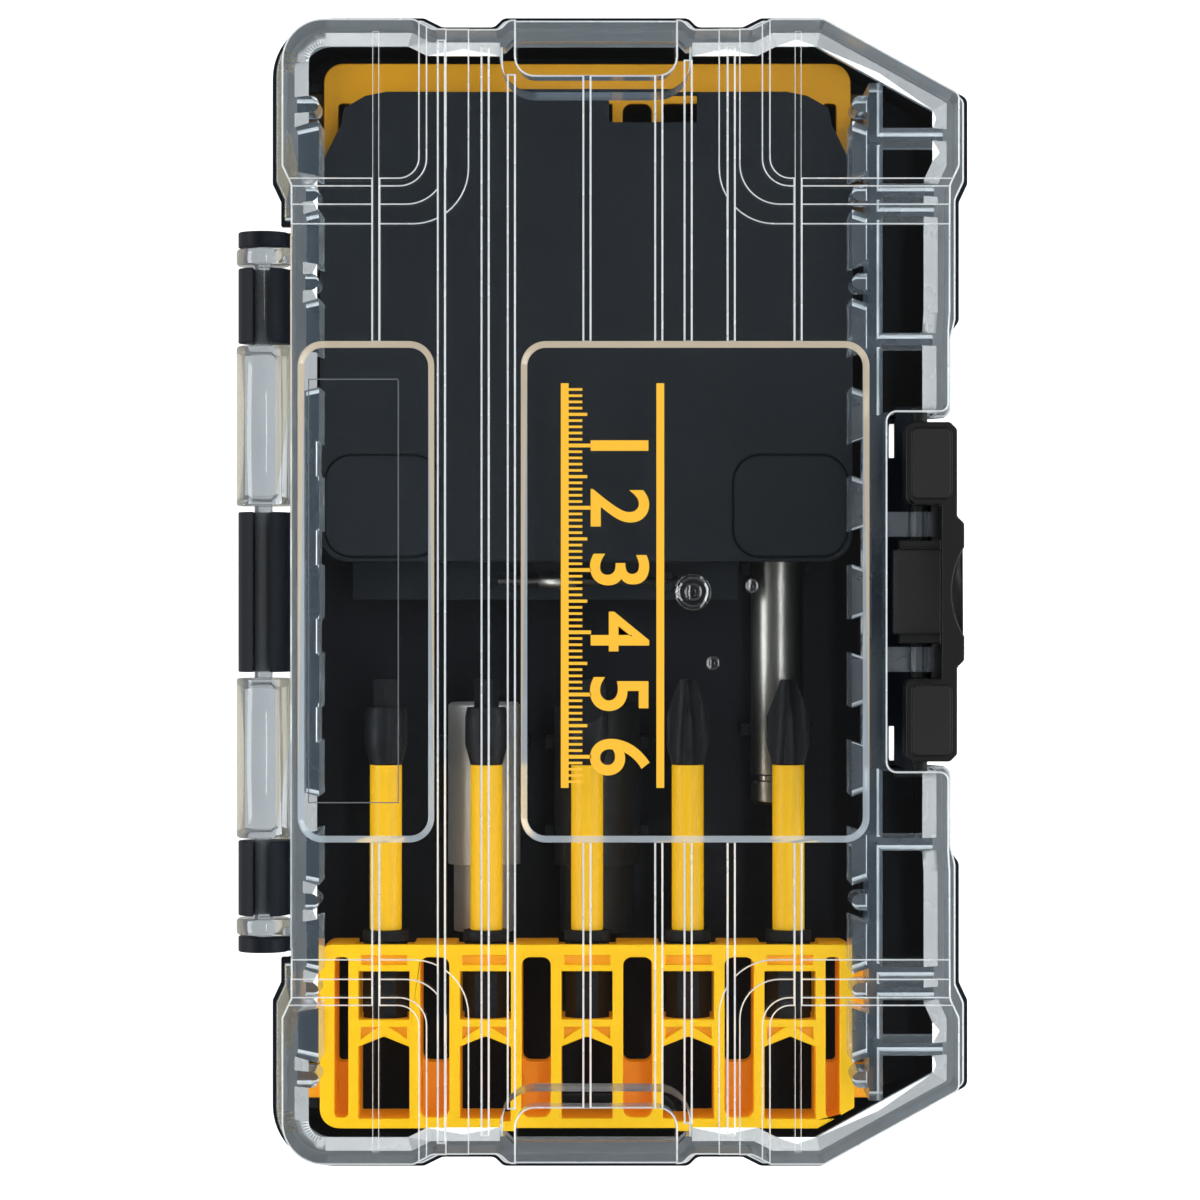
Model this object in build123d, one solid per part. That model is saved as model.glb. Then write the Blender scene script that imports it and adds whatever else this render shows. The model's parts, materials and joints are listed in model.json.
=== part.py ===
from build123d import *
import math
import os

# Bit set case lying on its back: +X to the latch, +Y to the upper bit bar,
# +Z out of the lid. The origin is the centre of the base's underside.
# All sizes are in millimetres.

# How far a cut runs past the face it opens
past = 1.0

# Case outline, over the base flange
case_length = 190.0
case_width = 115.0
base_depth = 23.0
lid_depth = 20.0
parting_gap = 0.2
corner_radius = 10.0
bend_radius = 1.5
end_step = 1.5
side_step = 1.4
step_slope = 3.0
grip_left = -19.3
grip_right = 11.3
left_lug_end = -32.4
right_lug_start = 23.3
corner_cut_x = 24.1
corner_cut_y = 13.3
side_lug_gap = 27.5
hinge_room = 1.1
flange_run = 13.0
recess_gap = 1.5

# Base shell
wall = 1.8
floor_thick = 2.0
flange_thick = 2.2
flange_overhang = 1.8
hinge_edge_gap = 3.4
latch_edge_gap = 3.5
recess_depth = 13.0
foot_radius = 2.0
rail_drop = 0.2
gusset_y = 13.3
gusset_height = 6.5

# Lid shell
rim_inset = 0.8
rim_thick = 2.3
rim_latch_gap = 2.9
lid_wall = 1.8
lid_wall_inset = 3.2
lid_hinge_gap = 4.5
lid_latch_gap = 4.8
lid_recess_depth = 14.7
plate_thick = 2.0
rib_height = 1.2
rib_width = 1.45
edge_break = 0.3
pad_break = 0.2
cove_width = 2.4
window_depth = 1.0
window_slope = 1.0
window_radius = 4.0
window_half = 40.2
window_left_edge = -29.9
window_right_edge = -16.0
window_hinge_gap = 1.2
window_recess_gap = 2.9
pad_steps = ((24.3, 15.7, 36.1, 9.0, 0.25), (27.9, 19.0, 33.0, 6.5, 0.55), (31.0, 22.6, 30.1, 4.5, 0.85),
             (32.2, 23.8, 28.9, 3.4, 1.1))
scoop_left = -16.8
scoop_right = 8.9
scoop_reach = 12.1
scoop_depth = 11.5
scoop_wall = 2.6
scoop_radius = 3.0

# Lid ribs: X, how far the inner end is from the middle, and how far the outer
# end stops short of the flange
rib_inner = 38.8
rib_rows = (
    (-39.2, rib_inner, 5.1),
    (-28.7, 0.0, 6.6),
    (-21.7, 0.0, 7.8),
    (-17.5, 0.0, 12.1),
    (-5.4, rib_inner, 12.1),
    (6.1, rib_inner, 12.1),
    (10.8, rib_inner, 9.8),
    (17.7, rib_inner, 7.8),
    (28.4, rib_inner, 5.1),
)

# Rails and dovetail teeth inside the lid
rail_thick = 2.2
rail_clear = 4.0
tooth_pitch = 14.25
tooth_count = 11
tooth_reach = 2.7
tooth_free = 8.8
tooth_root = 6.7
root_bite = 0.45
peg_width = 2.6
peg_drop = 2.7
peg_rows = (3.5, 4.5, 5.5)
cross_rib_rows = (21.5, 30.4, 33.7, 54.4)
cross_rib_thick = 2.0
left_rail_half = 29.4

# Hinge on the left side
hinge_axis_out = 1.5
barrel_radius = 4.45
knuckle_radius = 4.15
hinge_pin_radius = 1.5
running_gap = 0.08
snap_width = 2.7
hinge_end_gap = 35.6
cap_length = 2.5
ring_gap_y = 0.3
ring_length = 2.7
outer_knuckle = 12.3
long_barrel = 26.4
joint_gap = 0.5
barrel_wall = 1.9
barrel_web = 3.6

# Latch on the right side
latch_axis_in = 9.2
latch_axis_drop = 6.2
latch_pin_radius = 1.3
latch_half = 27.3
latch_inner_gap = 11.7
latch_outer_gap = 3.4
latch_top_drop = 2.2
latch_pad_half = 14.0
latch_pad_rise = 0.4
latch_plate = 2.5
latch_body_height = 6.6
latch_bulge = 1.15
latch_bulge_half = 12.0
bulge_chamfer = 1.0
pad_border = 1.0
pad_corner = 1.5
grip_radius = 14.0
grip_reach = 2.0
grip_depth = 2.5
tongue_gap = 1.1
tongue_half = 6.8
tongue_rib = 1.5
tongue_thick = 3.2
tongue_drop = 1.6
tongue_rib_rise = 0.7
tongue_rib_inset = 1.0
lug_inner = 8.9
lug_outer = 12.9
lug_reach = 2.1
lug_mouth = 2.3
pin_bite = 1.0
shelf_gap = 7.3
shelf_half = 22.2
slit_width = 1.0
hook_gap = 0.3
hook_half = 20.0
hook_height = 2.8
hook_drop = 0.5
hook_chamfer = 0.8

# Bit bars
bar_depth = 30.2
bar_thick = 12.0
bar_rise = 3.0
upper_bar_drop = 9.0
bar_left_gap = 4.5
bar_right_gap = 2.4
bar_end_gap = 3.2
bar_radius = 2.0
bar_far_radius = 3.2
bar_cut = (6.0, 3.4)
bit_count = 5
bit_margin = 10.55
channel_width = 8.4
slot_width = 4.8
edge_slot_width = 2.3
edge_slot_gap = 2.4
slot_radius = 1.4
edge_slot_radius = 0.7
slot_top = 2.1
slot_end_margin = 1.8
slot_floor_start = 20.3
slot_floor_depth = 8.5
window_top = 4.4
window_bottom = 12.3
house_apex = 15.1
house_eave = 16.8
house_end_margin = 1.6
upper_bar_band = 6.7
pocket_depth = 1.0
pocket_top = 1.8
pocket_bottom = 3.3
pocket_inset = 0.4
triangle_gap = 1.3
triangle_height = 1.9
triangle_inner = 0.9
side_notch = 0.7
notch_side = 0.6
notch_rise = 0.3
shank_end_gap = 0.3
bit_axis_drop = 5.2
ear_reach = 3.0
ear_thick = 3.8
ear_drop = 3.2
ear_rows = ((7.5, 6.5), (22.8, 5.5))
ear_clear = 0.2
ear_cheek = 1.6

# Bits
hex_flats = 6.35
tip_length = 14.1
sleeve_length = 27.4
ring_thick = 1.7
ring_seat_gap = 0.3
shank_bite = 13.5
head_radius = 3.55
head_start = 6.1
head_end = 10.8
neck_radius = 1.9
sleeve_radius = 2.65
ring_radius = 3.8
tip_radius = 1.25
flute_radius = 2.0
flute_out = 3.3
flute_back = 5.5
flute_tilt = 5.0
flute_length = 18.4
blade_half = 0.6
blade_length = 3.0
blade_shoulder = 8.5
blade_end_radius = 2.8
drive_end_radius = 2.2
drive_length = 4.6
square_drive = 2.9
hex_drive = 3.6
bit_fit = 0.08
piece_gap = 0.05

# Cover panel over the upper half
panel_bit_gap = 19.5
panel_thick = 1.8
panel_top_gap = 5.7
panel_level = 1.5
panel_radius = 4.6
panel_corner = ((0.0, 12.4), (3.5, 5.5), (4.0, 2.7), (7.5, 0.7), (11.0, 0.0))
panel_side_gap = 0.1
panel_skirt = 1.6
panel_skirt_gap = 3.0
panel_skirt_stop = 16.0
window_box = (-1.8, 12.7)
window_box_rows = (0.5, 5.0)
ledge_right = 20.0
ledge_depth = 6.3
ledge_top = 14.2
ledge_thick = 1.2
pin_radius = 0.7
pin_sleeve_radius = 1.3
pin_left = -20.3
pin_right = 9.8
pin_sleeve = (-13.6, -7.4)
pin_lug = 1.6
pin_above_ledge = 1.4
groove_depth = 0.3
groove_width = 0.35
groove_size = (19.3, 17.2)
groove_edge = 0.6

# Tools in the lower layer
tool_floor_gap = 0.3
saddle_thick = 2.0
saddle_side = 1.6
driver_saddles = (6.8, 21.8)
holder_saddles = (12.5, 40.0)
tool_chamfer = 0.5
stem_radius = 2.9
small_driver_in = 26.5
driver_pitch = 19.1
driver_gap = 0.8
driver_barrel = 27.3
driver_neck = 11.3
driver_shank = 12.2
driver_stem = 7.9
small_driver_radius = 6.1
large_driver_radius = 7.2
neck_step = 0.95
small_hex = 6.45
large_hex = 8.1
socket_depth = 8.0
magnet_radius = 2.4
magnet_length = 3.0
holder_in = 11.7
holder_gap = 22.1
holder_sleeve_length = 50.0
holder_radius = 4.5
holder_shank = 24.0
holder_stem = 16.0
holder_ring_width = 1.0
holder_ring_step = 0.5
holder_ring_gap = 1.2

# Values worked out from the sizes above
half_l = case_length / 2
half_w = case_width / 2
parting = base_depth
lid_low = parting + parting_gap
lid_top = parting + lid_depth
plate_top = lid_top - rib_height
plate_under = plate_top - plate_thick
plate_middle = plate_top - plate_thick / 2
base_inset = flange_overhang
inner_inset = flange_overhang + wall
recess_half = latch_half + recess_gap
hinge_end = half_l - hinge_end_gap
hinge_edge = hinge_edge_gap - half_w
latch_edge = half_w - latch_edge_gap
recess_edge = half_w - recess_depth
lid_hinge_edge = lid_hinge_gap - half_w
lid_latch_edge = half_w - lid_latch_gap
rim_latch_edge = half_w - rim_latch_gap
lid_recess_edge = half_w - lid_recess_depth
window_left = (lid_hinge_edge + window_hinge_gap, window_left_edge)
window_right = (window_right_edge, lid_recess_edge - window_recess_gap)
hinge_axis_x = -half_w - hinge_axis_out
latch_axis_x = half_w - latch_axis_in
latch_inner = half_w - latch_inner_gap
latch_outer = half_w - latch_outer_gap
tongue_end = lid_recess_edge + tongue_gap
shelf_edge = half_w - shelf_gap
rail_inner = recess_edge - inner_inset
inner_left = inner_inset - half_w
bar_left = inner_left + bar_left_gap
bar_right = rail_inner - bar_right_gap
bar_width = bar_right - bar_left
bar_x = (bar_left + bar_right) / 2
bar_far = half_l - inner_inset - bar_end_gap
bar_near = bar_far - bar_depth
upper_bar_row = bar_depth - upper_bar_band
bar_face = parting + bar_rise
upper_face = bar_face - upper_bar_drop
bit_pitch = (bar_width - 2 * bit_margin) / (bit_count - 1)
bit_z = bar_face - bit_axis_drop
hex_radius = hex_flats / math.sqrt(3)
bit_length = tip_length + sleeve_length + ring_thick + ring_seat_gap + shank_bite
bit_tip_y = -bar_near + bit_length - shank_bite
latch_axis_z = lid_top - latch_axis_drop
latch_top = lid_top - latch_top_drop
shelf_low = parting - flange_thick
panel_top_y = bar_far - panel_top_gap
panel_low_y = bit_tip_y + panel_bit_gap
panel_top_z = parting + panel_level
tool_floor = floor_thick + tool_floor_gap
small_driver_x = bar_left + small_driver_in
large_driver_x = small_driver_x + driver_pitch
driver_top = driver_gap + driver_barrel + driver_neck - bar_near
holder_x = bar_right - holder_in
holder_low = holder_gap - bar_near


def span_box(x, y, z):
    """A box between two X, two Y and two Z values."""
    centre = Pos((x[0] + x[1]) / 2, (y[0] + y[1]) / 2, (z[0] + z[1]) / 2)
    return centre * Box(x[1] - x[0], y[1] - y[0], z[1] - z[0])


def rod_along_y(radius, x, z, y):
    """A round rod along Y between two Y values."""
    return Pos(x, (y[0] + y[1]) / 2, z) * Rot(90, 0, 0) * Cylinder(radius, y[1] - y[0])


def hex_along_y(flats, x, z, y):
    """A hexagonal rod along Y between two Y values, with a flat side up."""
    profile = RegularPolygon(flats / math.sqrt(3), 6)
    rod = extrude(profile, y[1] - y[0])
    return Pos(x, y[0], z) * Rot(-90, 0, 0) * rod


def prism(points, z):
    """An upright prism on an outline of X, Y points, between two Z values."""
    outline = make_face(Polyline(*points, close=True))
    return Pos(0, 0, z[0]) * extrude(outline, z[1] - z[0])


def prism_along_y(points, y, thick):
    """A plate across Y: an outline of X, Z points, with its middle at Y."""
    outline = make_face(Polyline(*[(x, 0, z) for x, z in points], close=True))
    return Pos(0, y, 0) * extrude(outline, thick / 2, dir=(0, 1, 0), both=True)


def both_ends(shape):
    """A shape and its mirror image across the case's middle."""
    return shape + mirror(shape, about=Plane.XZ)


def case_outline(inset, hinge_x, latch_x, recess_x, rounding):
    """The case's plan outline, drawn in by inset.

    The hinge side, the latch side and the bottom of the latch recess are given
    as the X where they end up, because each shell has its own there.
    """
    end = half_l - end_step
    side = half_w - side_step
    lug_y = half_l - side_lug_gap
    hinge_y = hinge_end + hinge_room
    flange_y = recess_half + flange_run
    upper = [
        (hinge_x - inset, hinge_y),
        (-side, hinge_y),
        (-side, lug_y - step_slope),
        (-half_w, lug_y),
        (-half_w, half_l),
        (left_lug_end, half_l),
        (left_lug_end + step_slope, end),
        (grip_left - end_step, end),
        (grip_left, half_l),
        (grip_right, half_l),
        (grip_right + end_step, end),
        (right_lug_start - step_slope, end),
        (right_lug_start, half_l),
        (half_w - corner_cut_x, half_l),
        (half_w, half_l - corner_cut_y),
        (half_w, lug_y),
        (side, lug_y - step_slope),
        (side, flange_y + step_slope),
        (latch_x + inset, flange_y),
        (latch_x + inset, recess_half - inset),
        (recess_x + inset, recess_half - inset),
    ]
    lower = [(x, -y) for x, y in reversed(upper)]
    face = make_face(Polyline(*upper, *lower, close=True))
    if inset > 0:
        face = offset(face, -inset, kind=Kind.INTERSECTION).faces()[0]
    lug_middle = (lug_y + half_l) / 2
    corners = [v for v in face.vertices().group_by(Axis.X)[0] if abs(v.Y) > lug_middle]
    face = fillet(corners, corner_radius - inset)
    if rounding > 0:
        bends = [v for v in face.vertices() if v.X > left_lug_end - step_slope]
        face = fillet(bends, rounding)
    return face


def raised(face, z):
    """A plan face pulled up between two Z values."""
    return Pos(0, 0, z[0]) * extrude(face, z[1] - z[0])


def broken(block, side, size):
    """A block with the edges of its top (1) or bottom (-1) face chamfered."""
    face = block.faces().sort_by(Axis.Z)[0 if side < 0 else -1]
    return chamfer(face.edges(), size)


# Hinge: Y spans of the base's knuckles and of the lid's barrels, upper half
cap_span = (hinge_end - cap_length, hinge_end)
ring_span = (cap_span[0] - ring_gap_y - ring_length, cap_span[0] - ring_gap_y)
side_knuckle_span = (ring_span[0] - joint_gap - outer_knuckle, ring_span[0] - joint_gap)
long_barrel_span = (side_knuckle_span[0] - joint_gap - long_barrel, side_knuckle_span[0] - joint_gap)
middle_half = long_barrel_span[0] - 2 * joint_gap


def base_knuckle(y, open_side=1):
    """A base knuckle: a cylinder on a web, open on top (1) or underneath (-1) to snap over the pin."""
    body = rod_along_y(knuckle_radius, hinge_axis_x, parting, y)
    web = span_box((hinge_axis_x, hinge_edge + wall), y, (parting - knuckle_radius, parting))
    mouth = span_box(
        (hinge_axis_x - snap_width / 2, hinge_axis_x + snap_width / 2),
        y,
        sorted((parting, parting + open_side * knuckle_radius)),
    )
    bore = rod_along_y(hinge_pin_radius + running_gap, hinge_axis_x, parting, y)
    return body + web - mouth - bore


def ear_seat(ear_y, ear_height, seat_z):
    """A post on the left wall with a notch that carries a bit bar's ear."""
    half = ear_height / 2 + ear_clear + ear_cheek
    left = inner_left - wall / 2
    right = bar_left - ear_clear
    post = span_box((left, right), (ear_y - half, ear_y + half), (floor_thick / 2, seat_z + ear_thick))
    return post - ear_notch(ear_y, ear_height, seat_z)


def ear_notch(ear_y, ear_height, seat_z):
    """The room that an ear and its clearance take, open at the top."""
    half = ear_height / 2 + ear_clear
    return span_box((inner_left, rail_inner + wall), (ear_y - half, ear_y + half), (seat_z, parting + past))


def saddle(x, radius, y):
    """A rib on the floor, hollowed to carry a round tool."""
    axis_z = tool_floor + radius
    half = radius + saddle_side
    rib_y = (y - saddle_thick / 2, y + saddle_thick / 2)
    rib = span_box((x - half, x + half), rib_y, (floor_thick / 2, axis_z))
    seat = rod_along_y(radius + piece_gap, x, axis_z, (y - saddle_thick, y + saddle_thick))
    return rib - seat


def make_base_shell():
    """Black base: tray, flange, hinge knuckles, latch shelf, rail and seats."""
    flange = raised(case_outline(0, hinge_edge, latch_edge, recess_edge, bend_radius), (shelf_low, parting))
    body_face = case_outline(base_inset, hinge_edge, latch_edge - wall, recess_edge - wall, bend_radius)
    body = raised(body_face, (0, parting))
    body = fillet(body.faces().sort_by(Axis.Z)[0].edges(), foot_radius)
    cavity_face = case_outline(inner_inset, hinge_edge + wall, latch_edge - 2 * wall, rail_inner, 0)
    cavity = raised(cavity_face, (floor_thick, parting + past))
    shell = flange + body - cavity

    rail_far = half_l - corner_cut_y
    rail_z = (floor_thick / 2, parting - rail_drop)
    rail = span_box((rail_inner, rail_inner + wall), (recess_half, rail_far), rail_z)
    shell += both_ends(rail) & body

    shelf = span_box((rail_inner + wall, shelf_edge), (-shelf_half, shelf_half), (shelf_low, parting))
    gusset_top = (shelf_low + parting) / 2
    gussets = [
        prism_along_y(
            [
                (rail_inner + wall, gusset_top),
                (shelf_edge - wall, gusset_top),
                (rail_inner + wall, gusset_top - gusset_height),
            ],
            y,
            wall,
        )
        for y in (-gusset_y, gusset_y)
    ]
    shell += shelf
    shell += gussets
    ledge_x = (recess_edge + slit_width, shelf_edge)
    ledge = span_box(ledge_x, (shelf_half - wall, recess_half + wall), (shelf_low, parting))
    shell += both_ends(ledge)

    for span, open_side in ((cap_span, -1), (side_knuckle_span, 1)):
        shell += both_ends(base_knuckle(span, open_side))
    shell += base_knuckle((-middle_half, middle_half))

    for row, height in ear_rows:
        for side, face_z in ((-1, bar_face), (1, upper_face)):
            seat_z = face_z - ear_drop - ear_thick
            ear_y = side * (bar_near + row)
            shell += ear_seat(ear_y, height, seat_z)
            shell -= ear_notch(ear_y, height, seat_z)

    for x, radius in ((small_driver_x, small_driver_radius), (large_driver_x, large_driver_radius)):
        for down in driver_saddles:
            shell += saddle(x, radius, driver_top - down)
    for up in holder_saddles:
        shell += saddle(holder_x, holder_radius, holder_low + up)
    return shell


def lid_barrel(y):
    """A lid barrel on its web, cored from below like the moulded one."""
    barrel = rod_along_y(barrel_radius, hinge_axis_x, parting, y)
    barrel = chamfer(barrel.edges().filter_by(GeomType.CIRCLE), edge_break)
    web = span_box((hinge_axis_x, lid_hinge_edge + lid_wall), y, (lid_low, lid_low + barrel_web))
    return barrel + web


def barrel_core(y):
    """The hollow under a long barrel, inside its walls."""
    half = barrel_radius - barrel_wall
    return span_box(
        (hinge_axis_x - half, hinge_axis_x + half),
        (y[0] + barrel_wall, y[1] - barrel_wall),
        (parting - barrel_radius, parting + half),
    )


def scoop(inset, low):
    """The finger scoop at the upper end, grown by inset, from a level up."""
    x = (scoop_left - inset, scoop_right + inset)
    y = (half_l - scoop_reach - inset, half_l + wall)
    block = span_box(x, y, (low, lid_top + wall))
    inner_edges = block.edges().filter_by(Axis.Z).group_by(Axis.Y)[0]
    return fillet(inner_edges, scoop_radius + inset)


def window_cut(x):
    """A shallow window in the lid's top, with sloped sides."""
    width = x[1] - x[0]
    depth = 2 * window_half
    middle = Pos((x[0] + x[1]) / 2, 0, 0)
    low = RectangleRounded(width - 2 * window_slope, depth - 2 * window_slope, window_radius - window_slope)
    high = RectangleRounded(width, depth, window_radius)
    slope = loft([Pos(0, 0, plate_top - window_depth) * low, Pos(0, 0, plate_top) * high])
    return middle * (slope + raised(high, (plate_top, lid_top)))


def corner_pads(envelope_face):
    """The raised stacking pads at the four corners, in low steps."""
    pads = []
    for left, right, reach, radius, height in pad_steps:
        y = (half_l - reach, half_l + radius)
        z = (plate_under, plate_top + height)
        left_block = span_box((-half_w - radius, -left), y, z)
        right_block = span_box((right, half_w + radius), y, z)
        left_edges = left_block.edges().filter_by(Axis.Z).group_by(Axis.X)[-1]
        right_edges = right_block.edges().filter_by(Axis.Z).group_by(Axis.X)[0]
        level = broken(fillet(left_edges.group_by(Axis.Y)[0], radius), 1, pad_break)
        level += broken(fillet(right_edges.group_by(Axis.Y)[0], radius), 1, pad_break)
        envelope = broken(raised(envelope_face, (lid_low, z[1])), 1, edge_break)
        pads.append(both_ends(level) & envelope)
    return pads


def tooth(x_root, x_free, y):
    """A dovetail tooth inside the lid, wide at its free end."""
    root = tooth_root / 2
    free = tooth_free / 2
    points = [(x_root, y - root), (x_free, y - free), (x_free, y + free), (x_root, y + root)]
    return broken(prism(points, (parting + rail_clear, plate_middle)), -1, edge_break)


def peg(x_root, x_free, y):
    """A small round-nosed peg between two teeth."""
    toward = 1 if x_free > x_root else -1
    x_round = x_free - toward * peg_width / 2
    z = (parting + rail_clear + peg_drop, plate_middle)
    stem = span_box((min(x_root, x_round), max(x_root, x_round)), (y - peg_width / 2, y + peg_width / 2), z)
    nose = Pos(x_round, y, (z[0] + z[1]) / 2) * Cylinder(peg_width / 2, z[1] - z[0])
    return broken(stem + nose, -1, edge_break)


def make_lid_shell():
    """Clear lid: ribbed top, walls, rim, hinge barrels and pin, latch lugs."""
    rim_face = case_outline(rim_inset, lid_hinge_edge, rim_latch_edge, lid_recess_edge, bend_radius)
    rim = broken(raised(rim_face, (lid_low, lid_low + rim_thick)), 1, edge_break)
    wall_face = case_outline(lid_wall_inset, lid_hinge_edge, lid_latch_edge, lid_recess_edge, bend_radius)
    body = broken(raised(wall_face, (lid_low, plate_top)), 1, edge_break)
    outer = rim + body
    for pads in corner_pads(wall_face):
        outer += pads

    for x, inner, end_gap in rib_rows:
        y = (inner, half_l - end_gap)
        rib = span_box((x - rib_width / 2, x + rib_width / 2), y, (plate_under, lid_top))
        outer += both_ends(broken(rib, 1, edge_break))
    outer -= window_cut(window_left)
    outer -= window_cut(window_right)
    for x, inner, end_gap in rib_rows:
        if inner == 0:
            rib_x = (x - rib_width / 2, x + rib_width / 2)
            outer += broken(span_box(rib_x, (-window_half, window_half), (plate_under, lid_top)), 1, edge_break)
    scoop_floor = lid_top - scoop_depth
    outer -= both_ends(scoop(0, scoop_floor))
    outer -= both_ends(broken(scoop(edge_break, plate_top - edge_break), -1, edge_break))

    cavity_inset = lid_wall_inset + lid_wall
    cove_low = plate_under - cove_width
    low_face = case_outline(
        cavity_inset, lid_hinge_edge + lid_wall, lid_latch_edge - lid_wall, lid_recess_edge - lid_wall, 0
    )
    high_face = case_outline(
        cavity_inset + cove_width,
        lid_hinge_edge + lid_wall + cove_width,
        lid_latch_edge - lid_wall - cove_width,
        lid_recess_edge - lid_wall - cove_width,
        0,
    )
    cavity = raised(low_face, (lid_low - past, cove_low))
    cavity += loft([Pos(0, 0, cove_low) * low_face, Pos(0, 0, plate_under) * high_face], ruled=True)
    cavity -= both_ends(broken(scoop(scoop_wall, scoop_floor - lid_wall), -1, edge_break))
    lid = outer - cavity

    rail_z = (parting + rail_clear, plate_middle)
    rail_right = lid_recess_edge - lid_wall + rail_thick / 2
    rail_x = (rail_right - rail_thick, rail_right)
    rails = broken(span_box(rail_x, (-half_l + corner_cut_y, half_l - corner_cut_y), rail_z), -1, edge_break)
    left_rail_x = (lid_hinge_edge + lid_wall / 2, lid_hinge_edge + lid_wall + rail_thick)
    rails += broken(span_box(left_rail_x, (-left_rail_half, left_rail_half), rail_z), -1, edge_break)
    for gap in cross_rib_rows:
        y = half_l - gap
        cross = span_box(
            (rail_right - lid_wall, half_w), (y - cross_rib_thick / 2, y + cross_rib_thick / 2), rail_z
        )
        rails += both_ends(broken(cross, -1, edge_break))
    half_teeth = (tooth_count - 1) // 2
    left_free = lid_hinge_edge + lid_wall + tooth_reach
    left_wall = lid_wall_inset - half_w + lid_wall / 2
    for index in range(-half_teeth, half_teeth + 1):
        y = index * tooth_pitch
        rails += tooth(rail_x[0] + root_bite, rail_x[0] - tooth_reach, y)
        rails += tooth(left_wall, left_free, y)
    for row in peg_rows:
        for side in (-1, 1):
            y = side * row * tooth_pitch
            rails += peg(rail_x[0] + root_bite, rail_x[0] - tooth_reach, y)
            rails += peg(left_wall, left_free, y)
    lid += rails & raised(wall_face, (lid_low, plate_top))

    for span in (ring_span, long_barrel_span):
        lid += both_ends(lid_barrel(span))
    lid -= both_ends(barrel_core(long_barrel_span))
    middle_pin = long_barrel_span[0] + lid_wall
    side_pin = (long_barrel_span[1] - lid_wall, hinge_end - ring_gap_y)
    lid += rod_along_y(hinge_pin_radius, hinge_axis_x, parting, (-middle_pin, middle_pin))
    lid += both_ends(rod_along_y(hinge_pin_radius, hinge_axis_x, parting, side_pin))

    lug_z = (latch_axis_z - lug_reach, latch_axis_z + lug_reach)
    lug_x = (lid_recess_edge - lid_wall / 2, latch_axis_x + lug_reach)
    lug = span_box(lug_x, (lug_inner, lug_outer), lug_z)
    mouth = span_box(
        (latch_axis_x - lug_mouth / 2, latch_axis_x + lug_mouth / 2),
        (lug_inner - past, lug_outer + past),
        (lug_z[0] - past, latch_axis_z),
    )
    lid += both_ends(lug - mouth)
    bore_end = recess_half + 2 * lid_wall
    lid -= rod_along_y(latch_pin_radius + running_gap, latch_axis_x, latch_axis_z, (-bore_end, bore_end))
    return lid


def make_latch_lever():
    """Black latch: two pads, a front plate with its hook, a tongue and pins."""
    pad_low = latch_top - latch_body_height
    front = latch_outer - latch_plate
    plate_mid = latch_outer - latch_plate / 2
    hook_top = shelf_low - hook_drop
    hook_low = hook_top - hook_height
    pads = span_box((latch_inner, latch_outer), (latch_pad_half, latch_half), (pad_low, latch_top))
    pads = fillet(pads.edges().filter_by(Axis.Z).group_by(Axis.X)[0], pad_corner)
    lever = both_ends(pads)
    lever += span_box((front, latch_outer), (-latch_half, latch_half), (hook_low, latch_top))
    lever = chamfer(lever.edges().filter_by(Axis.Z).group_by(Axis.X)[-1], latch_bulge)
    bulge_x = (front, latch_outer + latch_bulge)
    bulge = span_box(bulge_x, (-latch_bulge_half, latch_bulge_half), (pad_low - latch_plate, latch_top))
    bulge = chamfer(bulge.edges().filter_by(Axis.Z).group_by(Axis.X)[-1], bulge_chamfer)
    lever += bulge
    raised_pad = span_box(
        (latch_inner + pad_border, latch_outer - pad_border),
        (latch_pad_half + pad_border, latch_half - pad_border),
        (latch_top - pad_border, latch_top + latch_pad_rise),
    )
    lever += both_ends(fillet(raised_pad.edges().filter_by(Axis.Z), pad_corner - pad_border / 2))
    tongue_top = latch_top - tongue_drop
    tongue_low = tongue_top - tongue_thick
    lever += span_box((tongue_end, plate_mid), (-tongue_half, tongue_half), (tongue_low, tongue_top))
    ribs = span_box(
        (tongue_end + tongue_rib_inset, plate_mid),
        (tongue_half, tongue_half + tongue_rib),
        (tongue_low, tongue_top + tongue_rib_rise),
    )
    lever += both_ends(ribs)
    nose = span_box((shelf_edge + hook_gap, plate_mid), (-hook_half, hook_half), (hook_low, hook_top))
    nose = chamfer(nose.edges().filter_by(Axis.Y).group_by(Axis.Z)[0].group_by(Axis.X)[0], hook_chamfer)
    lever += nose
    grip_x = latch_outer + latch_bulge - grip_reach + grip_radius
    lever -= Pos(grip_x, 0, latch_top) * Cylinder(grip_radius, 2 * grip_depth)
    pin_end = recess_half + pin_bite
    lever += rod_along_y(latch_pin_radius, latch_axis_x, latch_axis_z, (-pin_end, pin_end))
    return lever


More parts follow.
